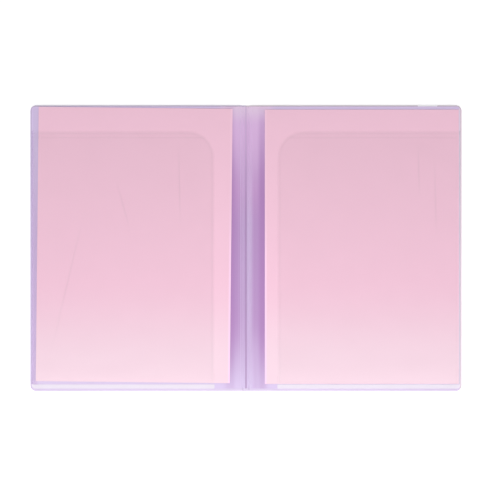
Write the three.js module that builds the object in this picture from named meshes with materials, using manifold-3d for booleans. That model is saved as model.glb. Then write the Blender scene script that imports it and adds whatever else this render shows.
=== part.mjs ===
// Multi-pocket folder for A4 paper, lying open flat at its middle spread.
// Units are millimetres. X runs across the spread, Y towards the top of the pages, Z up from the table.
// The origin is on the table under the middle of the spine.
// On the real folder the covers and the spine are one scored sheet. Here each panel is its own solid, and they
// meet at the scores, which are the hinges.

import * as THREE from "three";
import { mergeVertices } from "three/addons/utils/BufferGeometryUtils.js";
import Module from "manifold-3d";

const wasm = await Module();
wasm.setup();

// Sheet stock
const coverThickness = 0.8;
const leafThickness = 0.3;
const filmThickness = 0.15;
const paperThickness = 0.2;

// Paper, in the two pockets of the open spread
const paperWidth = 210;
const paperHeight = 297;
const paperPlay = 0.2;
const leftPaperInset = 4.8;
const leftPaperRise = 2.5;
const leftPaperTurn = 0.6;
const rightPaperInset = 0.4;
const rightPaperRise = 0.6;

// Cover: it takes the paper, a bare gutter by the fold and a margin above
const gutterWidth = 20.4;
const headMargin = 4.9;
const coverCornerRadius = 6;
const spineWidth = 7;

// Scores between the panels: the sheet is thinned to a web between sloping sides
const scoreWebThickness = 0.25;
const scoreFloorWidth = 1;
const scoreGap = 0.3;
const scoreSlope = Math.PI / 4;

// Index notch in the top edge of the back cover
const notchWidth = 20.6;
const notchDepth = 3;
const notchFromOuterEdge = 37;
const notchMouthRadius = 0.8;
const notchFloorRadius = 1.5;

// Leaves, each kept inside the cover by its margins
const leafSideMargin = 2;
const leafTopMargin = 1.5;
const leafBottomMargin = 3;
const leafCornerRadius = 4;
const leafClearance = 0.3;

// Root webs, which carry the leaves down to the centre fold
const webWidth = 3.7;
const webRootGap = 0.9;
const webOuterDrop = 0.45;
const webInnerDrop = 0.8;
const webScoreCount = 3;
const webScoreDepth = 0.1;
const webScoreWidth = 0.4;

// Centre fold, welded to the inside of the spine
const centreFoldWidth = 4.8;
const centreFoldEdgeThickness = 0.2;
const centreCreaseThickness = 0.15;
const centreShoulderRise = 0.2;
const centreShoulderSteps = 6;

// Pockets: clear film welded at the outer edge and the bottom, open at the top and towards the spine
const pocketWidth = 198;
const pocketHeight = 279;
const pocketMouthRadius = 29;
const pocketFootRadius = 1;
const sideWeldWidth = 1.2;
const footWeldWidth = 4.5;

// Number of straight steps in a rounded corner's outline
const cornerSteps = 16;

// How far a cutting solid runs past what it cuts
const cutOverrun = 1;

// Sizes that follow
const spineHalf = spineWidth / 2;
const coverOuter = gutterWidth + paperWidth + rightPaperInset + sideWeldWidth + leafSideMargin;
const coverHeight = leafBottomMargin + footWeldWidth + rightPaperRise + paperHeight + headMargin;
const coverTop = coverHeight / 2;
const leafOuter = coverOuter - leafSideMargin;
const leafTop = coverTop - leafTopMargin;
const leafBottom = leafBottomMargin - coverTop;
const webRoot = centreFoldWidth / 2 + webRootGap;
const leafRoot = webRoot + webWidth;
const pocketInner = leafOuter - pocketWidth;
const pocketTop = leafBottom + pocketHeight;
const pocketSpace = paperThickness + 2 * paperPlay;

// Heights of the layers, from the table up; the stack is the same on both sides
const coverFilmLevel = coverThickness;
const outerBackFilmLevel = coverFilmLevel + filmThickness + leafClearance;
const outerLeafLevel = outerBackFilmLevel + filmThickness;
const outerFrontFilmLevel = outerLeafLevel + leafThickness;
const innerBackFilmLevel = outerFrontFilmLevel + filmThickness + leafClearance;
const innerLeafLevel = innerBackFilmLevel + filmThickness;
const pocketFloorLevel = innerLeafLevel + leafThickness;
const paperLevel = pocketFloorLevel + paperPlay;
const innerFrontFilmLevel = pocketFloorLevel + pocketSpace;

const coverPlastic = { color: 0xc9b6e6, roughness: 0.42, metalness: 0 };
const leafPlastic = { color: 0xd2c0ec, roughness: 0.4, metalness: 0 };
const filmPlastic = { color: 0xeee8f6, roughness: 0.25, metalness: 0, transparent: true, opacity: 0.3 };
const pinkPaper = { color: 0xf0c2d6, roughness: 0.85, metalness: 0 };

// An outline through corners [x, y, radius], each rounded to its own radius
function roundedOutline(corners) {
  const shape = new THREE.Shape();
  const count = corners.length;
  corners.forEach(([x, y, radius], i) => {
    const corner = new THREE.Vector2(x, y);
    const [beforeX, beforeY] = corners[(i + count - 1) % count];
    const [afterX, afterY] = corners[(i + 1) % count];
    const back = new THREE.Vector2(beforeX, beforeY).sub(corner).normalize();
    const on = new THREE.Vector2(afterX, afterY).sub(corner).normalize();
    const halfAngle = Math.acos(back.dot(on)) / 2;
    const start = corner.clone().addScaledVector(back, radius / Math.tan(halfAngle));
    if (i === 0) shape.moveTo(start.x, start.y);
    else shape.lineTo(start.x, start.y);
    if (radius > 0) {
      const end = corner.clone().addScaledVector(on, radius / Math.tan(halfAngle));
      const toCentre = back.clone().add(on).normalize();
      const centre = corner.clone().addScaledVector(toCentre, radius / Math.sin(halfAngle));
      const from = start.sub(centre).angle();
      const to = end.sub(centre).angle();
      const turnsRight = back.cross(on) > 0;
      shape.absarc(centre.x, centre.y, radius, from, to, turnsRight);
    }
  });
  return shape;
}

// A flat sheet of the outline, lying on z = 0
function sheet(corners, thickness) {
  const options = { depth: thickness, bevelEnabled: false, curveSegments: cornerSteps };
  return new THREE.ExtrudeGeometry(roundedOutline(corners), options);
}

// A strip with the cross-section [x, z], running along Y from bottom to top
function strip(section, bottom, top) {
  const shape = new THREE.Shape(section.map(([x, z]) => new THREE.Vector2(x, z)));
  const geometry = new THREE.ExtrudeGeometry(shape, { depth: top - bottom, bevelEnabled: false });
  return geometry.rotateX(Math.PI / 2).translate(0, top, 0);
}

function solidOf(geometry) {
  const bare = geometry.clone();
  bare.deleteAttribute("normal");
  bare.deleteAttribute("uv");
  const merged = mergeVertices(bare, 1e-5);
  const vertProperties = merged.getAttribute("position").array;
  const triVerts = new Uint32Array(merged.getIndex().array);
  return new wasm.Manifold(new wasm.Mesh({ numProp: 3, vertProperties, triVerts }));
}

function cut(geometry, tool) {
  const mesh = solidOf(geometry).subtract(solidOf(tool)).getMesh();
  const result = new THREE.BufferGeometry();
  result.setAttribute("position", new THREE.BufferAttribute(mesh.vertProperties, 3));
  result.setIndex(new THREE.BufferAttribute(mesh.triVerts, 1));
  result.computeVertexNormals();
  return result;
}

function piece(name, geometry, finish, level = 0) {
  const mesh = new THREE.Mesh(geometry, new THREE.MeshStandardMaterial(finish));
  mesh.name = name;
  mesh.position.z = level;
  return mesh;
}

// The corners of an outline on the right-hand side, moved to the side that is asked for: 1 right, -1 left
function onSide(side, corners) {
  return corners.map(([x, y, radius]) => [side * x, y, radius]);
}

// A cover panel: rounded at its outer corners and sloped down to the score's web at the spine
function coverPanel(side, topEdge) {
  const hingeEdge = spineHalf + scoreGap / 2;
  const outline = [
    [hingeEdge, -coverTop, 0],
    [coverOuter, -coverTop, coverCornerRadius],
    [coverOuter, coverTop, coverCornerRadius],
    ...topEdge,
    [hingeEdge, coverTop, 0],
  ];
  const scoreFloor = spineHalf + scoreFloorWidth / 2;
  const scoreRise = coverThickness + cutOverrun - scoreWebThickness;
  const score = [
    [side * (hingeEdge - cutOverrun), scoreWebThickness],
    [side * scoreFloor, scoreWebThickness],
    [side * (scoreFloor + scoreRise / Math.tan(scoreSlope)), scoreWebThickness + scoreRise],
    [side * (hingeEdge - cutOverrun), scoreWebThickness + scoreRise],
  ];
  const panel = sheet(onSide(side, outline), coverThickness);
  return cut(panel, strip(score, -coverTop - cutOverrun, coverTop + cutOverrun));
}

// The index notch, as corners of the back cover's top edge, from the outer end inwards
function notchCorners() {
  const outer = coverOuter - notchFromOuterEdge + notchWidth / 2;
  const inner = outer - notchWidth;
  const floor = coverTop - notchDepth;
  return [
    [outer, coverTop, notchMouthRadius],
    [outer, floor, notchFloorRadius],
    [inner, floor, notchFloorRadius],
    [inner, coverTop, notchMouthRadius],
  ];
}

// The spine panel, thinned to the web at both scores
function spinePanel() {
  const edge = spineHalf - scoreGap / 2;
  const scoreFloor = spineHalf - scoreFloorWidth / 2;
  const flat = scoreFloor - (coverThickness - scoreWebThickness) / Math.tan(scoreSlope);
  const section = [
    [-edge, 0],
    [edge, 0],
    [edge, scoreWebThickness],
    [scoreFloor, scoreWebThickness],
    [flat, coverThickness],
    [-flat, coverThickness],
    [-scoreFloor, scoreWebThickness],
    [-edge, scoreWebThickness],
  ];
  return strip(section, -coverTop, coverTop);
}

// The centre fold: two soft shoulders with the crease between them
function centreFold() {
  const half = centreFoldWidth / 2;
  const section = [
    [-half, 0],
    [half, 0],
  ];
  for (let i = centreShoulderSteps; i >= -centreShoulderSteps; i -= 1) {
    const across = i / centreShoulderSteps;
    const fromCrease = Math.abs(across);
    const base = THREE.MathUtils.lerp(centreCreaseThickness, centreFoldEdgeThickness, fromCrease);
    section.push([half * across, base + centreShoulderRise * Math.sin(Math.PI * fromCrease)]);
  }
  return strip(section, leafBottom, leafTop);
}

// A root web: a strip that slopes from the leaf down towards the centre fold, with fine scores along its top
function rootWeb(side, drop) {
  const slope = drop / webWidth;
  const topAt = (x) => leafThickness - (leafRoot - x) * slope;
  const section = [
    [webRoot, -drop],
    [leafRoot, 0],
    [leafRoot, leafThickness],
  ];
  const pitch = webWidth / (webScoreCount + 1);
  for (let i = webScoreCount; i >= 1; i -= 1) {
    const middle = webRoot + i * pitch;
    section.push([middle + webScoreWidth / 2, topAt(middle + webScoreWidth / 2)]);
    section.push([middle, topAt(middle) - webScoreDepth]);
    section.push([middle - webScoreWidth / 2, topAt(middle - webScoreWidth / 2)]);
  }
  section.push([webRoot, topAt(webRoot)]);
  const turned = section.map(([x, z]) => [side * x, z]);
  return strip(turned, leafBottom, leafTop);
}

function leafSheet(side) {
  const outline = [
    [leafRoot, leafBottom, 0],
    [leafOuter, leafBottom, leafCornerRadius],
    [leafOuter, leafTop, leafCornerRadius],
    [leafRoot, leafTop, 0],
  ];
  return sheet(onSide(side, outline), leafThickness);
}

// A pocket film: its outer edge and foot follow the leaf, and its inner top corner is rounded off for the hand
function pocketFilm(side) {
  const outline = [
    [pocketInner, leafBottom, pocketFootRadius],
    [leafOuter, leafBottom, leafCornerRadius],
    [leafOuter, pocketTop, 0],
    [pocketInner, pocketTop, pocketMouthRadius],
  ];
  return sheet(onSide(side, outline), filmThickness);
}

// The seams that hold a filled pocket's film above its leaf: a broad one along the foot, under the film's whole
// width, and a narrow one from there up the outer edge
function sideWeld(side) {
  const outline = [
    [leafOuter - sideWeldWidth, leafBottom + footWeldWidth, 0],
    [leafOuter, leafBottom + footWeldWidth, 0],
    [leafOuter, pocketTop, 0],
    [leafOuter - sideWeldWidth, pocketTop, 0],
  ];
  return sheet(onSide(side, outline), pocketSpace);
}

function footWeld(side) {
  const outline = [
    [pocketInner, leafBottom, pocketFootRadius],
    [leafOuter, leafBottom, leafCornerRadius],
    [leafOuter, leafBottom + footWeldWidth, 0],
    [pocketInner, leafBottom + footWeldWidth, 0],
  ];
  return sheet(onSide(side, outline), pocketSpace);
}

// A sheet of paper in its pocket: inset from the side weld, raised above the foot weld, turned in degrees
function paper(name, side, inset, rise, turn) {
  const halfWidth = paperWidth / 2;
  const halfHeight = paperHeight / 2;
  const outline = [
    [-halfWidth, -halfHeight, 0],
    [halfWidth, -halfHeight, 0],
    [halfWidth, halfHeight, 0],
    [-halfWidth, halfHeight, 0],
  ];
  const mesh = piece(name, sheet(outline, paperThickness), pinkPaper, paperLevel);
  mesh.position.x = side * (leafOuter - sideWeldWidth - inset - halfWidth);
  mesh.position.y = leafBottom + footWeldWidth + rise + halfHeight;
  mesh.rotation.z = THREE.MathUtils.degToRad(turn);
  return mesh;
}

// The outer leaf of one side: a pocket on each face, both empty
function outerLeaf(side, word) {
  const leaf = new THREE.Group();
  leaf.add(piece(`${word}_outer_leaf`, leafSheet(side), leafPlastic, outerLeafLevel));
  leaf.add(piece(`${word}_outer_leaf_web`, rootWeb(side, webOuterDrop), leafPlastic, outerLeafLevel));
  leaf.add(piece(`${word}_outer_back_film`, pocketFilm(side), filmPlastic, outerBackFilmLevel));
  leaf.add(piece(`${word}_outer_front_film`, pocketFilm(side), filmPlastic, outerFrontFilmLevel));
  return leaf;
}

// The inner leaf of one side: an empty pocket behind, and the filled one of the open spread in front
function innerLeaf(side, word) {
  const leaf = new THREE.Group();
  leaf.add(piece(`${word}_inner_leaf`, leafSheet(side), leafPlastic, innerLeafLevel));
  leaf.add(piece(`${word}_inner_leaf_web`, rootWeb(side, webInnerDrop), leafPlastic, innerLeafLevel));
  leaf.add(piece(`${word}_inner_back_film`, pocketFilm(side), filmPlastic, innerBackFilmLevel));
  leaf.add(piece(`${word}_page_side_weld`, sideWeld(side), filmPlastic, pocketFloorLevel));
  leaf.add(piece(`${word}_page_foot_weld`, footWeld(side), filmPlastic, pocketFloorLevel));
  leaf.add(piece(`${word}_page_film`, pocketFilm(side), filmPlastic, innerFrontFilmLevel));
  return leaf;
}

const folder = new THREE.Group();

const right = 1;
const left = -1;

const backCover = new THREE.Group();
backCover.add(piece("back_cover", coverPanel(right, notchCorners()), coverPlastic));
backCover.add(piece("back_cover_film", pocketFilm(right), filmPlastic, coverFilmLevel));

const spine = new THREE.Group();
spine.add(piece("spine_panel", spinePanel(), coverPlastic));
spine.add(piece("centre_fold", centreFold(), leafPlastic, coverThickness));

const frontCover = new THREE.Group();
frontCover.add(piece("front_cover", coverPanel(left, []), coverPlastic));
frontCover.add(piece("front_cover_film", pocketFilm(left), filmPlastic, coverFilmLevel));

folder.add(backCover, spine, frontCover);
folder.add(outerLeaf(left, "left"), outerLeaf(right, "right"));
folder.add(innerLeaf(left, "left"), innerLeaf(right, "right"));
folder.add(paper("left_paper", left, leftPaperInset, leftPaperRise, -leftPaperTurn));
folder.add(paper("right_paper", right, rightPaperInset, rightPaperRise, 0));

export default folder;
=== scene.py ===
"""A multi-pocket A4 folder of translucent lilac plastic. It lies open flat, with a pink sheet in each of
the two pockets that show. Lengths are in metres. X runs across the spread, Y towards the top of the
pages and Z up from the table."""

import math
from contextlib import contextmanager

import bmesh
import bpy
from bpy.props import FloatProperty, FloatVectorProperty, PointerProperty
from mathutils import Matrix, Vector


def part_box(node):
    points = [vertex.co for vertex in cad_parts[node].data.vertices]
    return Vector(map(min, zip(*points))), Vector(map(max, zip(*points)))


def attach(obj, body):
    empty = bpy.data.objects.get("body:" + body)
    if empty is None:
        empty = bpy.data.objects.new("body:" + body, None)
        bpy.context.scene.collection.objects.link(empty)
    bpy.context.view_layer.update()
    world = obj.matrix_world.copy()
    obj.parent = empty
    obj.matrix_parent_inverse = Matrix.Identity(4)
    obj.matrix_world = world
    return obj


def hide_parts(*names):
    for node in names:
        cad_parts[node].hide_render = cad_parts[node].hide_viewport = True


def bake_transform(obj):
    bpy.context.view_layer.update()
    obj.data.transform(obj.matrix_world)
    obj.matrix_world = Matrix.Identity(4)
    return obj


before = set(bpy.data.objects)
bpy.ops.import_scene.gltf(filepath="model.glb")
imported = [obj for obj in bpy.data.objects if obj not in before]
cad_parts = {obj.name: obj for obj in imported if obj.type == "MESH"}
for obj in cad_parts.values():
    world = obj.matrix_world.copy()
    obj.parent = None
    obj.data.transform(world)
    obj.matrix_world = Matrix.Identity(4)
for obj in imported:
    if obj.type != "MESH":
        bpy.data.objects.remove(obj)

bl_info = {
    "name": "Multi-pocket folder",
    "version": (1, 0, 0),
    "blender": (4, 5, 0),
    "location": "3D View > Sidebar > Folder",
    "description": "Dresses the packed frame of a multi-pocket folder and sets its stage",
    "category": "Object",
}

# Air between two sheets that lie on each other, so that they share no face
SHEET_GAP = 0.00002

# Two places nearer than this are the same
NEAR = 1e-5

ACROSS = Vector((1, 0, 0))
UP_THE_PAGE = Vector((0, 1, 0))

# Nodes of the frame, by what they are
PANELS = {"front_cover": "front_cover", "back_cover": "back_cover", "spine_panel": "spine"}
SIDES = {"left": -1, "right": 1}
POCKETS = {
    "front_cover_film": "front_cover",
    "back_cover_film": "back_cover",
    "left_outer_back_film": "left_outer_leaf",
    "left_outer_front_film": "left_outer_leaf",
    "left_inner_back_film": "left_inner_leaf",
    "left_page_film": "left_inner_leaf",
    "right_outer_back_film": "right_outer_leaf",
    "right_outer_front_film": "right_outer_leaf",
    "right_inner_back_film": "right_inner_leaf",
    "right_page_film": "right_inner_leaf",
}
BACK_POCKETS = [node for node in POCKETS if "back_film" in node]

# Places read from the frame
COVER_LOW, COVER_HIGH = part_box("back_cover")
SPINE_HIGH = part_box("spine_panel")[1]
FOLD_LOW, FOLD_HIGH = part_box("centre_fold")
LEAF_LOW, LEAF_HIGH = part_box("right_inner_leaf")
OUTER_LEAF_LOW, OUTER_LEAF_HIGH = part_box("right_outer_leaf")
WEB_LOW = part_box("right_inner_leaf_web")[0]
OUTER_WEB_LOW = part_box("right_outer_leaf_web")[0]
FILM_LOW, FILM_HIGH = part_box("right_page_film")
PAPER_LOW, PAPER_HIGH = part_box("right_paper")
LEFT_PAPER_LOW, LEFT_PAPER_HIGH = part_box("left_paper")
PAPER_WIDTH, PAPER_HEIGHT = PAPER_HIGH.x - PAPER_LOW.x, PAPER_HIGH.y - PAPER_LOW.y
LEFT_PAPER_TURN = (LEFT_PAPER_HIGH.x - LEFT_PAPER_LOW.x - PAPER_WIDTH) / PAPER_HEIGHT
SIDE_WELD_LOW, SIDE_WELD_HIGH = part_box("right_page_side_weld")
FOOT_WELD_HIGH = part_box("right_page_foot_weld")[1]

# Places of the photograph that the camera is set by: the middle of the folder in the picture, and its scale
PICTURE_SIDE = 500
PICTURE_SPINE_X = 246.0
PICTURE_MIDDLE_Y = 248.2
METRES_PER_PIXEL = 0.001083


def linear(red, green, blue):
    """A display colour, 0 to 255, as the linear numbers that the sockets take."""
    levels = [c / 255 for c in (red, green, blue)]
    return [c / 12.92 if c <= 0.04045 else ((c + 0.055) / 1.055) ** 2.4 for c in levels]


def length(name, description, default):
    """A length that a user may change, in metres."""
    labels = {"name": name, "description": description, "unit": "LENGTH"}
    return FloatProperty(default=default, min=0, precision=5, **labels)


def colour(name, description, red, green, blue):
    """A colour that a user may change, given as it shows on a display."""
    labels = {"name": name, "description": description, "subtype": "COLOR"}
    return FloatVectorProperty(default=linear(red, green, blue), size=3, min=0, max=1, **labels)


class FolderSizes(bpy.types.PropertyGroup):
    """Lengths of the folder's finer forms"""

    cover_edge: length("Cover edge", "Softness of the cut edges of the covers", 0.00015)
    film_thickness: length("Film thickness", "Thickness of the clear pocket film", 0.00012)
    paper_thickness: length("Paper thickness", "Thickness of a pink sheet", 0.00014)
    film_slope: length("Film slope", "Width over which a filled pocket's film rises from its seam", 0.0028)
    bead_height: length("Seam height", "How far a pocket's seam stands above the film", 0.00006)
    sheet_swell: length("Sheet swell", "How far the leaves, films and sheets lift from dead flat", 0.00014)
    swell_span: length("Swell span", "Distance from one low swell of a sheet to the next", 0.09)
    sheet_cell: length("Sheet cell", "Largest side of the cells that a swelling sheet is cut into", 0.02)
    rib_pitch: length("Rib pitch", "Distance from one fine rib of the gutter to the next", 0.0008)
    rib_height: length("Rib height", "Height of the fine ribs of the gutter", 0.00005)
    mouth_line: length("Mouth line", "Distance of the pressed line below a pocket's mouth", 0.0075)
    mouth_radius: length("Mouth radius", "Radius of the rounded corner of a pocket's mouth", 0.029)


class FolderColours(bpy.types.PropertyGroup):
    """Colours of the folder's plastics, of its paper and of the floor, with the painted shade and
    highlights that lie on the plastics and the paper
    """

    cover: colour("Cover", "Translucent plastic of the covers and spine", 221, 205, 234)
    # Painted highlight for the outermost edge of the covers and leaves, on the right of the spread
    cover_rim: colour("Cover rim", "The outermost edge of the covers, where light enters it", 255, 236, 245)
    leaf: colour("Leaf", "Translucent plastic of the leaves", 223, 204, 240)
    # Painted shade of the gutter, where the layers lie closest
    leaf_deep: colour("Leaf, deep", "The leaf in the gutter, where the layers lie closest", 192, 152, 205)
    # Painted shade beside the paper and in the crease, taking up some pink as painted light from the paper
    leaf_beside: colour("Leaf, beside the paper", "The leaf where it takes up some pink", 182, 134, 195)
    # Painted light that makes the upper part of the gutter warmer and lighter
    leaf_rose: colour("Leaf, rose", "The upper part of the gutter, which is a warmer tone", 240, 180, 234)
    # Painted light at the very top of the gutter
    leaf_head: colour("Leaf, head", "The gutter at its very top, which is the palest", 246, 226, 244)
    film: colour("Film", "Clear pocket film", 128, 78, 106)
    seam: colour("Seam", "Whitened plastic of the seams", 250, 242, 255)
    paper: colour("Paper", "Pink paper", 242, 196, 216)
    # Painted light that makes the paper paler towards its foot
    paper_foot: colour("Paper, foot", "Pink paper towards its lower edge, where it is paler", 238, 211, 223)
    # Painted highlight along the cut edge of the paper
    paper_edge: colour("Paper edge", "Cut edge of the paper, where it catches the light", 255, 212, 242)
    floor: colour("Floor", "Table top", 250, 250, 250)


def sizes():
    return bpy.context.scene.folder_sizes


def colours():
    return bpy.context.scene.folder_colours


# Modelling


def pick(piece):
    """Makes the piece the active object and the only one that is selected."""
    bpy.ops.object.select_all(action="DESELECT")
    piece.select_set(True)
    bpy.context.view_layer.objects.active = piece


@contextmanager
def edit_mode(piece):
    """Edits the piece, with all of it selected at first."""
    pick(piece)
    bpy.ops.object.mode_set(mode="EDIT")
    bpy.ops.mesh.select_all(action="SELECT")
    yield
    bpy.ops.object.mode_set(mode="OBJECT")


def select_parts(piece, kind, test):
    """Selects, in edit mode, the vertices, edges or faces of the piece that pass the test."""
    bpy.ops.mesh.select_mode(type=kind)
    bpy.ops.mesh.select_all(action="DESELECT")
    edited = bmesh.from_edit_mesh(piece.data)
    parts = {"VERT": edited.verts, "EDGE": edited.edges, "FACE": edited.faces}[kind]
    for part in parts:
        if test(part):
            part.select_set(True)
    bmesh.update_edit_mesh(piece.data)


def apply_modifier(piece, kind, **settings):
    pick(piece)
    modifier = piece.modifiers.new(kind.title(), kind)
    for setting, value in settings.items():
        setattr(modifier, setting, value)
    bpy.ops.object.modifier_apply(modifier=modifier.name)


def shade_gently(piece, angle=20):
    pick(piece)
    bpy.ops.object.shade_smooth_by_angle(angle=math.radians(angle))


def copy_of(node, name):
    """A copy of a node's solid as a piece of its own, with its loose triangles merged into whole faces."""
    merge_distance, flat_angle = 1e-6, math.radians(1)
    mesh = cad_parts[node].data.copy()
    mesh.name = name
    mesh.materials.clear()
    piece = bpy.data.objects.new(name, mesh)
    bpy.context.collection.objects.link(piece)
    with edit_mode(piece):
        bpy.ops.mesh.customdata_custom_splitnormals_clear()
        bpy.ops.mesh.remove_doubles(threshold=merge_distance)
        bpy.ops.mesh.dissolve_limited(angle_limit=flat_angle)
    return piece


def top_of(node, name):
    """The flat top face of a node's solid as a piece of its own."""
    piece = copy_of(node, name)
    with edit_mode(piece):
        select_parts(piece, "FACE", lambda face: face.normal.z < 0.5)
        bpy.ops.mesh.delete(type="FACE")
    return piece


def cut_lines(piece, places, axis):
    """Cuts the piece's faces along lines across the axis, in edit mode."""
    for place in places:
        bpy.ops.mesh.select_all(action="SELECT")
        bpy.ops.mesh.bisect(plane_co=axis * place, plane_no=axis)


def between(low, high, cell):
    """Places that share the stretch from low to high into cells no wider than that."""
    count = math.ceil((high - low) / cell)
    return [low + (high - low) * i / count for i in range(1, count)]


def cut_cells(piece):
    """Cuts a flat sheet into cells, so that it can swell."""
    points = [vertex.co.copy() for vertex in piece.data.vertices]
    cell = sizes().sheet_cell
    for axis in (ACROSS, UP_THE_PAGE):
        along = [point.dot(axis) for point in points]
        with edit_mode(piece):
            cut_lines(piece, between(min(along), max(along), cell), axis)


def swell(piece):
    """Lifts a sheet a little from dead flat. All swell alike, so each still lies on the one below."""
    texture = bpy.data.textures.get("sheet_swell")
    if texture is None:
        texture = bpy.data.textures.new("sheet_swell", "CLOUDS")
        texture.noise_scale = sizes().swell_span
        texture.noise_depth = 1
    settings = {"texture": texture, "texture_coords": "LOCAL", "direction": "Z", "mid_level": 0}
    apply_modifier(piece, "DISPLACE", strength=sizes().sheet_swell, **settings)


def thicken(piece, thickness):
    """Gives a sheet its thickness, downwards from its surface."""
    apply_modifier(piece, "SOLIDIFY", thickness=thickness, offset=-1)


def soften_edges(piece, width):
    apply_modifier(piece, "BEVEL", width=width, segments=2, angle_limit=math.radians(40))


def move_where(piece, test, offset):
    """Moves the vertices that pass the test."""
    with edit_mode(piece):
        select_parts(piece, "VERT", test)
        bpy.ops.transform.translate(value=offset)


def lengthwise_strip(name, columns, bottom, top):
    """A sheet strip that runs from bottom to top, through columns given as (x, z)."""
    first, last = columns[0][0], columns[-1][0]
    bpy.ops.object.select_all(action="DESELECT")
    bpy.ops.mesh.primitive_grid_add(x_subdivisions=len(columns) - 1, y_subdivisions=1, size=1)
    piece = bpy.context.object
    piece.name = piece.data.name = name
    piece.location = ((first + last) / 2, (bottom + top) / 2, 0)
    piece.scale = (abs(last - first), top - bottom, 1)
    bpy.ops.object.transform_apply(location=True, rotation=True, scale=True)
    order = sorted({round(vertex.co.x, 7) for vertex in piece.data.vertices})
    near = abs(last - first) / len(columns) / 4
    for place, (x, z) in zip(order, sorted(columns)):
        move_where(piece, lambda vertex, at=place: abs(vertex.co.x - at) < near, (x - place, 0, z))
    return piece


# Materials


class Shade:
    """A shader socket that can be used in Python arithmetic: each operation adds a Math node."""

    def __init__(self, finish, socket):
        self.finish = finish
        self.socket = socket

    def math(self, operation, *others):
        values = dict(enumerate([self, *others]))
        return self.finish.node("ShaderNodeMath", {"operation": operation}, values).out()

    def __add__(self, other):
        return self.math("ADD", other)

    __radd__ = __add__

    def __mul__(self, other):
        return self.math("MULTIPLY", other)

    __rmul__ = __mul__

    def __sub__(self, other):
        return self.math("SUBTRACT", other)

    def __rsub__(self, other):
        values = {0: other, 1: self}
        return self.finish.node("ShaderNodeMath", {"operation": "SUBTRACT"}, values).out()

    def __truediv__(self, other):
        return self.math("DIVIDE", other)

    def __pow__(self, other):
        return self.math("POWER", other)

    def size(self):
        return self.math("ABSOLUTE")

    def most(self, other):
        return self.math("MAXIMUM", other)

    def ramp(self, low, high):
        """0 below low and 1 above high, with a smooth rise between; low may be the larger one."""
        settings = {"interpolation_type": "SMOOTHSTEP"}
        values = {"Value": self, "From Min": low, "From Max": high}
        if low > high:
            values.update({"From Min": high, "From Max": low, "To Min": 1.0, "To Max": 0.0})
        return self.finish.node("ShaderNodeMapRange", settings, values).out()

    def line(self, place, half_width):
        """1 at the place, down to 0 at half_width to each side of it."""
        return (self - place).size().ramp(half_width, 0)


class Step:
    """A node of a finish, with its outputs as shades."""

    def __init__(self, finish, node):
        self.finish = finish
        self.node = node

    def out(self, name=0):
        return Shade(self.finish, self.node.outputs[name])


class Finish:
    """The nodes that a material, or the world, is made of."""

    def __init__(self, owner):
        self.owner = owner
        owner.use_nodes = True
        self.tree = owner.node_tree
        self.tree.nodes.clear()

    def node(self, kind, settings=None, values=None):
        """Adds a node: its settings first, then the values or links of its sockets."""
        node = self.tree.nodes.new(kind)
        for setting, value in (settings or {}).items():
            setattr(node, setting, value)
        for socket, value in (values or {}).items():
            if isinstance(value, Shade):
                self.tree.links.new(value.socket, node.inputs[socket])
            else:
                node.inputs[socket].default_value = value
        return Step(self, node)

    def place(self):
        """The Object coordinates, together and as X across and Y up the page."""
        coordinates = self.node("ShaderNodeTexCoord").out("Object")
        split = self.node("ShaderNodeSeparateXYZ", values={0: coordinates})
        return coordinates, split.out("X"), split.out("Y")

    def seen(self):
        """1 for a ray that shows the background: from the camera, off a gloss or through clear plastic."""
        path = self.node("ShaderNodeLightPath")
        camera, glossy = path.out("Is Camera Ray"), path.out("Is Glossy Ray")
        return camera.most(glossy).most(path.out("Is Transmission Ray"))

    def noise(self, vector, span, detail=2.0, stretch=(1, 1, 1)):
        """Soft noise, 0 to 1, whose lumps are about a span apart."""
        scale = [s / span for s in stretch]
        mapped = self.node("ShaderNodeMapping", values={"Vector": vector, "Scale": scale}).out()
        values = {"Vector": mapped, "Scale": 1.0, "Detail": detail}
        return self.node("ShaderNodeTexNoise", values=values).out()

    def mix(self, factor, first, second):
        """Two colours mixed, each three numbers or a shade."""
        first, second = [c if isinstance(c, Shade) else (*c, 1.0) for c in (first, second)]
        color_a, color_b, color_result = 6, 7, 2
        values = {"Factor": factor, color_a: first, color_b: second}
        return self.node("ShaderNodeMix", {"data_type": "RGBA"}, values).out(color_result)

    def bump(self, height):
        """A normal that follows a relief of this height, in metres."""
        values = {"Height": height, "Distance": 1.0, "Strength": 1.0}
        return self.node("ShaderNodeBump", values=values).out()

    def surface(self, **values):
        """Ends the finish in a Principled surface with these sockets."""
        named = {socket.replace("_", " "): value for socket, value in values.items()}
        for socket, value in named.items():
            if socket == "Base Color" and not isinstance(value, Shade):
                named[socket] = (*value, 1.0)
        principled = self.node("ShaderNodeBsdfPrincipled", values=named).out()
        self.node("ShaderNodeOutputMaterial", values={"Surface": principled})
        return self.owner


def finish_name(slot):
    """The frame already has a plain material under the slot's own name."""
    return f"{slot}_finish"


def new_finish(slot):
    return Finish(bpy.data.materials.new(finish_name(slot)))


def tint(name, factor=1.0):
    """One of the folder's colours, made lighter or darker."""
    return [min(1.0, channel * factor) for channel in getattr(colours(), name)]


def clouded(finish, cloud, name, depth):
    """A colour that is darker by the share depth where the cloud is thin and lighter where it is thick."""
    return finish.mix(cloud, tint(name, 1 - depth), tint(name, 1 + depth))


def on_right(x):
    """0 on the left of the spread and 1 on the right, with a soft change at the fold."""
    return x.ramp(-0.001, 0.001)


def towards(place, edge, start, end):
    """0 at the distance start before an edge and 1 at the distance end before it."""
    return place.ramp(edge - start, edge - end)


def lit_edge(finish, x):
    """A painted highlight: the tint of the outer edge of a sheet, as if light entered it, warmer on the
    right of the spread.
    """
    return finish.mix(on_right(x), tint("leaf", 1.1), tint("cover_rim"))


def light_leaf_edge(finish, base, x):
    """The base with a painted highlight on the outer edge of the leaves."""
    outer_edge = towards(x.size(), LEAF_HIGH.x, start=0.002, end=0.0004)
    return finish.mix(outer_edge * 0.7, base, lit_edge(finish, x))


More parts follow.
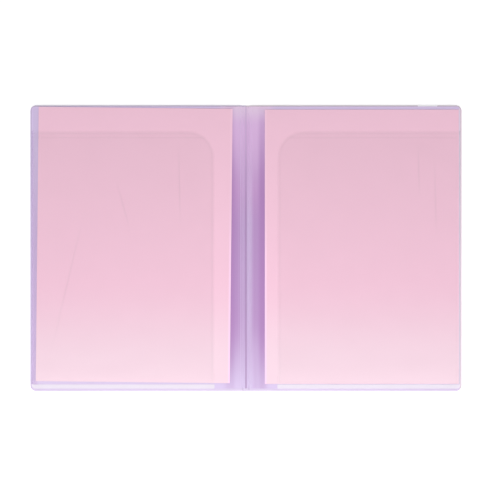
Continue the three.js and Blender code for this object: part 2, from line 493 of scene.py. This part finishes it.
def cover_plastic():
    """Translucent sheet with a fine matt grain, paler and clearer along its outer edge and its head, where
    a highlight is painted.
    """
    finish = new_finish("cover_plastic")
    vector, x, y = finish.place()
    cloud = finish.noise(vector, span=0.06)
    grain = finish.noise(vector, span=0.0007, detail=3.0)
    base = clouded(finish, cloud, "cover", depth=0.04)
    fore_edge = towards(x.size(), COVER_HIGH.x, start=0.0035, end=0.0005)
    head = towards(y, COVER_HIGH.y, start=0.0028, end=0.0008)
    # Painted highlight along the outer edge, stronger on the right of the spread, and along the head
    rim = (fore_edge * (on_right(x) * 0.45 + 0.55)).most(head)
    base = finish.mix(rim * 0.8, base, lit_edge(finish, x))
    grain_height, cloud_height = 0.00003, 0.0003
    return finish.surface(
        Base_Color=base,
        Roughness=grain * 0.12 + 0.34,
        Alpha=0.86 - rim * 0.3 - head * 0.2,
        Normal=finish.bump(grain * grain_height + cloud * cloud_height),
    )


# The tints of the leaves, most of them painted shade and painted light, each laid over the ones before it.
# The two numbers of a ramp are the places where the tint begins and where it is full, in metres from the
# fold or up the page.


def page_middle(y):
    """1 over the middle of a page's height, falling to 0 at its head and foot."""
    half_height = LEAF_HIGH.y
    below_centre = 0.01
    return (y + below_centre).size().ramp(half_height, half_height * 0.4)


def page_head(y):
    """0 on most of a page, rising to 1 at its upper edge."""
    return y.ramp(0.132, LEAF_HIGH.y)


def tint_gutter(finish, base, x, y):
    """Painted shade in the gutter, strongest over the middle of the page and less at the fold; painted
    light makes it warmer up the page and palest at its head.
    """
    from_fold = x.size()
    near_fold = from_fold.ramp(0.034, 0.018)
    # Painted shade in the gutter, strongest over the middle of the page, deeper left of the fold and
    # lighter at the fold itself
    deep = near_fold * page_middle(y)
    base = finish.mix(deep, base, tint("leaf_deep"))
    left_strip = x.ramp(-0.003, -0.012)
    base = finish.mix(left_strip * deep * 0.35, base, tint("leaf_beside", 1.04))
    at_fold = from_fold.ramp(0.0095, 0.003) * page_middle(y)
    base = finish.mix(at_fold * (on_right(x) * 0.35 + 0.25), base, tint("leaf"))
    # Painted light, warmer and paler up the page and palest at the head
    rose = y.ramp(0.02, 0.07) * 0.22 + y.ramp(0.07, 0.13) * 0.26
    base = finish.mix(near_fold * rose, base, tint("leaf_rose"))
    return finish.mix(near_fold * page_head(y) * 0.6, base, tint("leaf_head"))


def tint_beside_paper(finish, base, x, y):
    """Painted shade in the deepest strip, between the fold and the paper, which on the right goes on to the
    foot.
    """
    from_fold = x.size()
    right = on_right(x)
    right_shift = 0.0013
    # Painted shade between the fold and the paper
    strip = (from_fold - right * right_shift).ramp(0.01, 0.0155) * from_fold.ramp(0.026, 0.018)
    depth = page_middle(y) * 0.55 + right * 0.15 + 0.2 - right * page_head(y) * 0.25
    base = finish.mix(strip * depth, base, tint("leaf_beside"))
    right_foot = right * y.ramp(-0.09, -0.13) * from_fold.line(0.0105, 0.006)
    return finish.mix(right_foot * 0.35, base, tint("leaf_deep"))


def tint_margins(finish, base, x, y):
    """Painted shade beside the left sheet of paper, and a painted highlight along the very edge of both
    pages.
    """
    # Painted shade beside the left sheet of paper
    left_margin = x.ramp(-0.2245, -0.2275) * x.ramp(-0.2335, -0.229) * y.ramp(0.14, 0.0)
    base = finish.mix(left_margin * 0.32, base, tint("leaf_beside"))
    return light_leaf_edge(finish, base, x)


def mark_fold(finish, base, x, y):
    """Painted highlights on the ribs beside the fold, and painted shade in the dark crease, which is
    fainter up the page.
    """
    from_fold = x.size()
    pale_rib_pitch = 0.0025
    # Painted highlights on the ribs
    rib = (from_fold / pale_rib_pitch * math.tau).math("SINE").most(0.0) * from_fold.ramp(0.009, 0.006)
    base = finish.mix(rib * (0.4 - on_right(x) * 0.25), base, tint("leaf"))
    # Painted shade in the crease
    crease = from_fold.ramp(0.0011, 0.0001) * (0.9 - y.ramp(0.03, 0.13) * 0.65)
    return finish.mix(crease, base, tint("leaf_beside", 0.75))


def leaf_plastic():
    """Smoother translucent sheet, with painted shade and light along the gutter and the margins, and the
    fold's ribs and crease marked by painted highlight and shade.
    """
    finish = new_finish("leaf_plastic")
    vector, x, y = finish.place()
    cloud = finish.noise(vector, span=0.05)
    grain = finish.noise(vector, span=0.0009, detail=3.0)
    base = clouded(finish, cloud, "leaf", depth=0.03)
    for change in (tint_gutter, tint_beside_paper, tint_margins, mark_fold):
        base = change(finish, base, x, y)
    grain_height, cloud_height = 0.000012, 0.0004
    return finish.surface(
        Base_Color=base,
        Roughness=grain * 0.1 + 0.3,
        Alpha=0.85,
        Normal=finish.bump(grain * grain_height + cloud * cloud_height),
    )


# Faint lines that flexing has left in the page films, each from one (x, y) to another
FLEX_LINES = (
    ((-0.173, 0.047), (-0.213, -0.121)),
    ((-0.142, 0.079), (-0.124, 0.014)),
    ((-0.073, 0.115), (-0.071, 0.020)),
    ((0.186, 0.113), (0.188, 0.055)),
    ((0.204, 0.100), (0.206, 0.009)),
)


def flex_line(x, y, start, end):
    """1 along the line from start to end, fading towards both its ends."""
    half_width = 0.0016
    along_x, along_y = end[0] - start[0], end[1] - start[1]
    span = math.hypot(along_x, along_y)
    share = ((x - start[0]) * along_x + (y - start[1]) * along_y) * (1 / span ** 2)
    aside = ((x - start[0]) * along_y - (y - start[1]) * along_x) * (1 / span)
    return aside.line(0.0, half_width) * share.line(0.5, 0.6)


def from_free_edge(x, y):
    """Distance inwards from the free edge of a film: its mouth, its rounded corner and its gutter side."""
    radius = sizes().mouth_radius
    beyond_x = (FILM_LOW.x + radius - x.size()).most(0.0)
    beyond_y = (y - (FILM_HIGH.y - radius)).most(0.0)
    return radius - (beyond_x ** 2 + beyond_y ** 2) ** 0.5


def clear_film():
    """Clear film, faintly frosted, with a fine line inside its free edge and another below its mouth."""
    finish = new_finish("clear_film")
    vector, x, y = finish.place()
    from_edge = from_free_edge(x, y)
    body = from_edge.ramp(-0.0005, 0.003)
    rim = from_edge.line(0.0028, 0.0016)
    pressed = (FILM_HIGH.y - y).line(sizes().mouth_line, 0.0014)
    flexed = sum(flex_line(x, y, *line) for line in FLEX_LINES)
    frost = finish.noise(vector, span=0.0016, detail=3.0)
    ripple = finish.noise(vector, span=0.045, detail=1.5, stretch=(0.6, 1.3, 1.0))
    haze = finish.noise(vector, span=0.02, detail=3.0)
    marks = rim * 0.02 + pressed * 0.025 + flexed * 0.034
    ripple_height, frost_height = 0.0011, 0.000006
    pressed_depth, flexed_depth = 0.00006, 0.00008
    relief = ripple * ripple_height + frost * frost_height
    return finish.surface(
        Base_Color=tint("film"),
        Roughness=frost * 0.1 + 0.2,
        IOR=4.2,
        Alpha=0.006 + body * 0.016 + marks + haze * 0.014 + frost * 0.006,
        Normal=finish.bump(relief - pressed * pressed_depth - flexed * flexed_depth),
    )


def film_weld():
    """Seam of a pocket: pressed with a fine hatch, whitened along the foot and clearer up the side, with a
    painted highlight on the right side seam and painted shade lower down the side.
    """
    finish = new_finish("film_weld")
    _, x, y = finish.place()
    hatch_pitch, hatch_height = 0.0009, 0.00003
    slant = ((x + y) / hatch_pitch * math.tau).math("SINE")
    counter = ((x - y) / hatch_pitch * math.tau).math("SINE")
    hatch = slant * counter
    at_foot = y.ramp(FOOT_WELD_HIGH.y + 0.001, FOOT_WELD_HIGH.y)
    # Whitened seam plastic along the foot; on the right side seam, a painted highlight
    pale = at_foot.most(on_right(x) * 0.7)
    whitened = finish.mix(hatch * 0.5 + 0.5, tint("seam", 0.94), tint("seam"))
    # Painted shade beside the paper, lower down the side seam, and a painted highlight on its outer edge
    clearer = finish.mix(y.ramp(0.14, 0.0) * 0.28, tint("leaf"), tint("leaf_beside"))
    clearer = light_leaf_edge(finish, clearer, x)
    return finish.surface(
        Base_Color=finish.mix(pale, clearer, whitened),
        Roughness=0.34,
        Alpha=pale * 0.45 + 0.3,
        Normal=finish.bump(hatch * hatch_height),
    )


def inside_paper(x, y):
    """Distance outwards from the inner edge of a sheet of paper, which is turned a little on the left."""
    right = on_right(x)
    turn = (1 - right) * LEFT_PAPER_TURN
    left_edge = -LEFT_PAPER_HIGH.x + LEFT_PAPER_HIGH.y * LEFT_PAPER_TURN
    edge = right * (PAPER_LOW.x - left_edge) + left_edge
    return (x - y * turn).size() - edge


def pink_paper():
    """Plain paper with faint fibres, with painted light that makes it paler towards its foot and a painted
    highlight along its edge beside the gutter.
    """
    finish = new_finish("pink_paper")
    vector, x, y = finish.place()
    fibre = finish.noise(vector, span=0.0012, detail=4.0)
    cloud = finish.noise(vector, span=0.03)
    base = clouded(finish, cloud * 0.5 + fibre * 0.5, "paper", depth=0.025)
    # Painted light, paler towards the foot
    base = finish.mix(y.ramp(-0.03, -0.13) * 0.8, base, tint("paper_foot"))
    # Painted highlight along the edge beside the gutter
    at_edge = inside_paper(x, y).ramp(0.0028, 0.001) * (0.85 - y.ramp(-0.02, 0.05) * 0.55)
    base = finish.mix(at_edge, base, tint("paper_edge"))
    fibre_height, cloud_height = 0.00002, 0.0003
    return finish.surface(
        Base_Color=base,
        Roughness=fibre * 0.1 + 0.6,
        Normal=finish.bump(fibre * fibre_height + cloud * cloud_height),
    )


FINISHES = {
    "cover_plastic": cover_plastic,
    "leaf_plastic": leaf_plastic,
    "clear_film": clear_film,
    "film_weld": film_weld,
    "pink_paper": pink_paper,
}


def finish_piece(piece, slot):
    """Gives the piece the finish of the slot, which is made when it is first asked for."""
    material = bpy.data.materials.get(finish_name(slot)) or FINISHES[slot]()
    piece.data.materials.clear()
    piece.data.materials.append(material)


def settle(piece, body, slot, *nodes):
    """Finishes a piece that moves with one body and stands for these nodes."""
    shade_gently(piece)
    finish_piece(piece, slot)
    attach(piece, body)
    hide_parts(*nodes)


def settle_between(piece, bodies, start, end, slot, *nodes):
    """Finishes a piece that stands for these nodes, if any, and fixes its place in its mesh; bodies, start
    and end are not used.
    """
    shade_gently(piece, angle=60)
    finish_piece(piece, slot)
    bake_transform(piece)
    if nodes:
        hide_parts(*nodes)


# Operators


class FOLDER_OT_covers(bpy.types.Operator):
    """The two cover panels and the spine panel, with their cut edges softened"""

    bl_idname = "folder.covers"
    bl_label = "Covers and spine"

    def execute(self, context):
        for node, body in PANELS.items():
            panel = copy_of(node, f"{node}_board")
            soften_edges(panel, sizes().cover_edge)
            settle(panel, body, "cover_plastic", node)
        return {"FINISHED"}


class FOLDER_OT_scores(bpy.types.Operator):
    """The thin webs at the two scores, between the spine and the covers"""

    bl_idname = "folder.scores"
    bl_label = "Scores"

    def execute(self, context):
        web_columns = 9
        inner, outer = SPINE_HIGH.x, COVER_LOW.x
        web_top = min(vertex.co.z for vertex in self.rim("back_cover", outer))
        for cover, side in (("back", 1), ("front", -1)):
            xs = [side * (inner + (outer - inner) * i / (web_columns - 1)) for i in range(web_columns)]
            web = lengthwise_strip(f"{cover}_score", [(x, web_top) for x in xs], COVER_LOW.y, COVER_HIGH.y)
            thicken(web, web_top - COVER_LOW.z)
            start, end = (side * inner, 0, web_top), (side * outer, 0, web_top)
            settle_between(web, ("spine", f"{cover}_cover"), start, end, "cover_plastic")
        return {"FINISHED"}

    def rim(self, node, x):
        """The upper vertices of a panel's thin edge beside the score."""
        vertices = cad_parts[node].data.vertices
        edge = [vertex for vertex in vertices if abs(vertex.co.x - x) < NEAR]
        return [vertex for vertex in edge if vertex.co.z > COVER_LOW.z + NEAR]


class FOLDER_OT_gutter(bpy.types.Operator):
    """The centre fold with its crease, and the ribbed root webs of the four leaves"""

    bl_idname = "folder.gutter"
    bl_label = "Gutter"

    def execute(self, context):
        self.centre_fold()
        for word, side in SIDES.items():
            self.root_bead(word, side)
            self.outer_web(word, side)
            self.inner_web(word, side)
        return {"FINISHED"}

    def profile(self, side, start, end, steps):
        """Columns that sweep smoothly from start to end, each (x, z), with fine ribs along them."""
        columns = []
        for i in range(steps + 1):
            share = i / steps
            x = start[0] + (end[0] - start[0]) * share
            ease = share * share * (3 - 2 * share)
            rib = math.sin(math.tau * (x - start[0]) / sizes().rib_pitch)
            fade = math.sin(math.pi * share)
            z = start[1] + (end[1] - start[1]) * ease + sizes().rib_height * rib * fade
            columns.append((side * x, z))
        return columns

    def strip(self, name, columns):
        """A strip as long as the leaves are tall."""
        return lengthwise_strip(name, columns, LEAF_LOW.y, LEAF_HIGH.y)

    def centre_fold(self):
        """The crease, with a round shoulder to each side of it."""
        steps = 28
        edge_height, crease_height, thickness = 0.0002, 0.00012, 0.0001
        lean_to_crease = 0.7
        rise = FOLD_HIGH.z - FOLD_LOW.z - edge_height / 2
        columns = []
        for i in range(steps + 1):
            across = 2 * i / steps - 1
            from_crease = abs(across)
            base = crease_height + (edge_height - crease_height) * from_crease
            shoulder = math.sin(math.pi * from_crease ** lean_to_crease)
            z = FOLD_LOW.z + base + (rise - edge_height) * shoulder
            columns.append((FOLD_HIGH.x * across, z))
        fold = lengthwise_strip("centre_crease", columns, FOLD_LOW.y, FOLD_HIGH.y)
        thicken(fold, thickness)
        settle(fold, "spine", "leaf_plastic", "centre_fold")

    def root_bead(self, word, side):
        """The bead in which the leaves of one side are welded to the centre fold."""
        overlap, thickness = 0.0002, 0.0003
        fold_edge = (FOLD_HIGH.x - overlap, FOLD_LOW.z + thickness)
        root = (WEB_LOW.x, WEB_LOW.z)
        bead = self.strip(f"{word}_root_bead", self.profile(side, fold_edge, root, steps=10))
        thicken(bead, thickness)
        start, end = (side * fold_edge[0], 0, fold_edge[1]), (side * root[0], 0, root[1])
        bodies = ("spine", f"{word}_outer_leaf")
        settle_between(bead, bodies, start, end, "leaf_plastic")

    def outer_web(self, word, side):
        """The root of the outer leaf, which moves with it."""
        root_height = 0.0003
        root = (OUTER_WEB_LOW.x, OUTER_WEB_LOW.z + root_height)
        leaf = (OUTER_LEAF_LOW.x, OUTER_LEAF_HIGH.z)
        web = self.strip(f"{word}_outer_web", self.profile(side, root, leaf, steps=24))
        thicken(web, OUTER_LEAF_HIGH.z - OUTER_LEAF_LOW.z)
        settle(web, f"{word}_outer_leaf", "leaf_plastic", f"{word}_outer_leaf_web")

    def inner_web(self, word, side):
        """The root of the inner leaf."""
        root_height = 0.0002
        root = (WEB_LOW.x, WEB_LOW.z + root_height)
        leaf = (LEAF_LOW.x, LEAF_HIGH.z)
        web = self.strip(f"{word}_inner_web", self.profile(side, root, leaf, steps=30))
        thicken(web, LEAF_HIGH.z - LEAF_LOW.z)
        start, end = (side * root[0], 0, leaf[1]), (side * leaf[0], 0, leaf[1])
        bodies = (f"{word}_outer_leaf", f"{word}_inner_leaf")
        settle_between(web, bodies, start, end, "leaf_plastic", f"{word}_inner_leaf_web")


class FOLDER_OT_leaves(bpy.types.Operator):
    """The four leaves, thin sheets that swell a little"""

    bl_idname = "folder.leaves"
    bl_label = "Leaves"

    def execute(self, context):
        thickness = LEAF_HIGH.z - LEAF_LOW.z
        for word in SIDES:
            for place in ("outer", "inner"):
                node = f"{word}_{place}_leaf"
                leaf = top_of(node, f"{node}_sheet")
                cut_cells(leaf)
                swell(leaf)
                self.flatten_root(leaf, node)
                thicken(leaf, thickness)
                settle(leaf, node, "leaf_plastic", node)
        return {"FINISHED"}

    def flatten_root(self, leaf, node):
        """Puts the root edge back to its own height, where the web takes over."""
        low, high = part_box(node)
        root = min(abs(low.x), abs(high.x))
        with edit_mode(leaf):
            select_parts(leaf, "VERT", lambda vertex: abs(abs(vertex.co.x) - root) < NEAR)
            bpy.ops.transform.resize(value=(1, 1, 0), center_override=(0, 0, high.z))


class FOLDER_OT_pockets(bpy.types.Operator):
    """The clear film of every pocket and the seams that hold it"""

    bl_idname = "folder.pockets"
    bl_label = "Pockets"

    def execute(self, context):
        for node, body in POCKETS.items():
            film = self.film(node)
            self.seam(node, body, film)
            thicken(film, sizes().film_thickness)
            settle(film, body, "clear_film", node)
        return {"FINISHED"}

    def is_filled(self, node):
        """Only the pockets of the two pages that show hold a sheet."""
        return "page" in node

    def seam_lines(self, node):
        """The side of the spread that a pocket is on, and where its seams' inner edges lie."""
        low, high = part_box(node)
        side = 1 if high.x > 0 else -1
        outer = max(abs(low.x), abs(high.x))
        return side, outer - (SIDE_WELD_HIGH.x - SIDE_WELD_LOW.x), FOOT_WELD_HIGH.y

    def film(self, node):
        """The film as a bare sheet, cut along its seams and, if filled, brought down to the leaf there."""
        side, seam_side, seam_foot = self.seam_lines(node)
        slope = sizes().film_slope
        film = top_of(node, node.replace("film", "pocket"))
        with edit_mode(film):
            for share in (0, 0.5, 1):
                cut_lines(film, [side * (seam_side - slope * share)], ACROSS)
            for share in (0, 0.5, 1):
                cut_lines(film, [seam_foot + slope * share], UP_THE_PAGE)
        cut_cells(film)
        if self.is_filled(node):
            self.bring_down(film, side, seam_side, seam_foot)
        if node in BACK_POCKETS:
            move_where(film, lambda vertex: True, (0, 0, -SHEET_GAP))
        swell(film)
        return film

    def bring_down(self, film, side, seam_side, seam_foot):
        """Lowers the film to the leaf along its seams, in two steps across the slope."""
        slope = sizes().film_slope
        drop = FILM_LOW.z - SIDE_WELD_LOW.z

        def depth(vertex):
            """How far into the slope a vertex lies: 1 on the seam, 0 past the slope."""
            from_side = (seam_side - side * vertex.co.x) / slope
            from_foot = (vertex.co.y - seam_foot) / slope
            return 1 - max(0, min(1, from_side, from_foot))

        move_where(film, lambda vertex: depth(vertex) > 1 - NEAR, (0, 0, -drop))
        move_where(film, lambda vertex: NEAR < depth(vertex) < 1 - NEAR, (0, 0, -drop / 2))

    def seam(self, node, body, film):
        """The seam's bead, an L along the outer edge and the foot, cut from the film itself."""
        side, seam_side, seam_foot = self.seam_lines(node)
        bead = film.copy()
        bead.data = film.data.copy()
        bead.name = bead.data.name = node.replace("film", "seam")
        bpy.context.collection.objects.link(bead)

        def inside(face):
            middle = face.calc_center_median()
            return side * middle.x < seam_side and middle.y > seam_foot

        backwards = node in BACK_POCKETS
        with edit_mode(bead):
            select_parts(bead, "FACE", inside)
            bpy.ops.mesh.delete(type="FACE")
            bpy.ops.mesh.select_mode(type="VERT")
            bpy.ops.mesh.select_all(action="SELECT")
            rise = SHEET_GAP / 2 + (sizes().film_thickness if backwards else sizes().bead_height)
            bpy.ops.transform.translate(value=(0, 0, -rise if backwards else rise))
        thicken(bead, sizes().bead_height)
        welds = [node.replace("film", "side_weld"), node.replace("film", "foot_weld")]
        settle(bead, body, "film_weld", *(welds if self.is_filled(node) else []))


class FOLDER_OT_papers(bpy.types.Operator):
    """The pink sheet in each pocket of the open spread"""

    bl_idname = "folder.papers"
    bl_label = "Paper"

    def execute(self, context):
        for word in SIDES:
            node = f"{word}_paper"
            paper = top_of(node, f"{word}_pink_sheet")
            cut_cells(paper)
            swell(paper)
            thicken(paper, sizes().paper_thickness)
            settle(paper, node, "pink_paper", node)
        return {"FINISHED"}


class FOLDER_OT_stage(bpy.types.Operator):
    """Floor, background, lamps and the camera straight above"""

    bl_idname = "folder.stage"
    bl_label = "Stage"

    def execute(self, context):
        self.floor()
        self.world()
        self.lamps()
        self.camera()
        return {"FINISHED"}

    def floor(self):
        """A matt table just under the folder, which also glows a little, more so farther out."""
        floor_side, floor_drop = 12.0, 0.0002
        glow_near, glow_more = 0.3, 0.3
        bpy.ops.object.select_all(action="DESELECT")
        bpy.ops.mesh.primitive_plane_add(size=floor_side, location=(0, 0, COVER_LOW.z - floor_drop))
        floor = bpy.context.object
        floor.name = "floor"
        finish = new_finish("floor")
        _, x, y = finish.place()
        from_middle = (x ** 2 + y ** 2) ** 0.5
        glow = finish.seen() * (from_middle.ramp(0.35, 1.3) * glow_more + glow_near)
        light = finish.node("ShaderNodeEmission", values={"Color": (1, 1, 1, 1), "Strength": glow}).out()
        matt = finish.node("ShaderNodeBsdfDiffuse", values={"Color": (*colours().floor, 1.0)}).out()
        both = finish.node("ShaderNodeAddShader", values={0: matt, 1: light}).out()
        finish.node("ShaderNodeOutputMaterial", values={"Surface": both})
        floor.data.materials.append(finish.owner)

    def world(self):
        """White where it is seen, and a dimmer white light on the folder."""
        room_light = 0.48
        world = bpy.data.worlds.new("studio")
        bpy.context.scene.world = world
        finish = Finish(world)
        white = (1, 1, 1, 1)
        room = finish.node("ShaderNodeBackground", values={"Color": white, "Strength": room_light}).out()
        backdrop = finish.node("ShaderNodeBackground", values={"Color": white, "Strength": 1.0}).out()
        both = finish.node("ShaderNodeMixShader", values={0: finish.seen(), 1: room, 2: backdrop}).out()
        finish.node("ShaderNodeOutputWorld", values={"Surface": both})

    def lamp(self, name, place, size, power):
        """A soft oblong lamp that looks at the middle of the folder."""
        data = bpy.data.lights.new(name, "AREA")
        data.shape = "RECTANGLE"
        data.size, data.size_y = size
        data.energy = power
        lamp = bpy.data.objects.new(name, data)
        bpy.context.collection.objects.link(lamp)
        lamp.location = place
        lamp.rotation_euler = (-Vector(place)).to_track_quat("-Z", "Y").to_euler()

    def lamps(self):
        self.lamp("foot_softbox", place=(0.0, -0.42, 0.6), size=(1.3, 0.46), power=4.75)
        for word, side in SIDES.items():
            self.lamp(f"{word}_lamp", place=(side * 1.3, 0.0, 0.28), size=(1.2, 0.3), power=3.0)

    def camera(self):
        """A camera straight above the folder, with the photograph's own scale and place."""
        distance, sensor = 1.0, 36.0
        data = bpy.data.cameras.new("camera")
        data.sensor_width = sensor
        data.lens = sensor * distance / (PICTURE_SIDE * METRES_PER_PIXEL)
        camera = bpy.data.objects.new("camera", data)
        bpy.context.collection.objects.link(camera)
        middle = PICTURE_SIDE / 2
        x = (middle - PICTURE_SPINE_X) * METRES_PER_PIXEL
        y = (PICTURE_MIDDLE_Y - middle) * METRES_PER_PIXEL
        camera.location = (x, y, LEAF_HIGH.z + distance)
        bpy.context.scene.camera = camera
        bpy.context.scene.view_settings.view_transform = "Standard"
        bpy.context.scene.cycles.transparent_max_bounces = 32


class FOLDER_PT_panel(bpy.types.Panel):
    """Sidebar panel with the sizes, the colours and a button for each step"""

    bl_idname = "FOLDER_PT_panel"
    bl_label = "Multi-pocket folder"
    bl_space_type = "VIEW_3D"
    bl_region_type = "UI"
    bl_category = "Folder"

    def draw(self, context):
        for group in (context.scene.folder_sizes, context.scene.folder_colours):
            for name in group.__annotations__:
                self.layout.prop(group, name)
        for step in STEPS:
            self.layout.operator(step.bl_idname)


STEPS = (
    FOLDER_OT_covers,
    FOLDER_OT_scores,
    FOLDER_OT_gutter,
    FOLDER_OT_leaves,
    FOLDER_OT_papers,
    FOLDER_OT_pockets,
    FOLDER_OT_stage,
)
CLASSES = (FolderSizes, FolderColours, *STEPS, FOLDER_PT_panel)


def register():
    for cls in CLASSES:
        bpy.utils.register_class(cls)
    bpy.types.Scene.folder_sizes = PointerProperty(type=FolderSizes)
    bpy.types.Scene.folder_colours = PointerProperty(type=FolderColours)


def unregister():
    del bpy.types.Scene.folder_colours
    del bpy.types.Scene.folder_sizes
    for cls in reversed(CLASSES):
        bpy.utils.unregister_class(cls)


def main():
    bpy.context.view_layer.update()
    register()
    bpy.ops.folder.covers()
    bpy.ops.folder.scores()
    bpy.ops.folder.gutter()
    bpy.ops.folder.leaves()
    bpy.ops.folder.papers()
    bpy.ops.folder.pockets()
    bpy.ops.folder.stage()


if __name__ == "__main__":
    main()
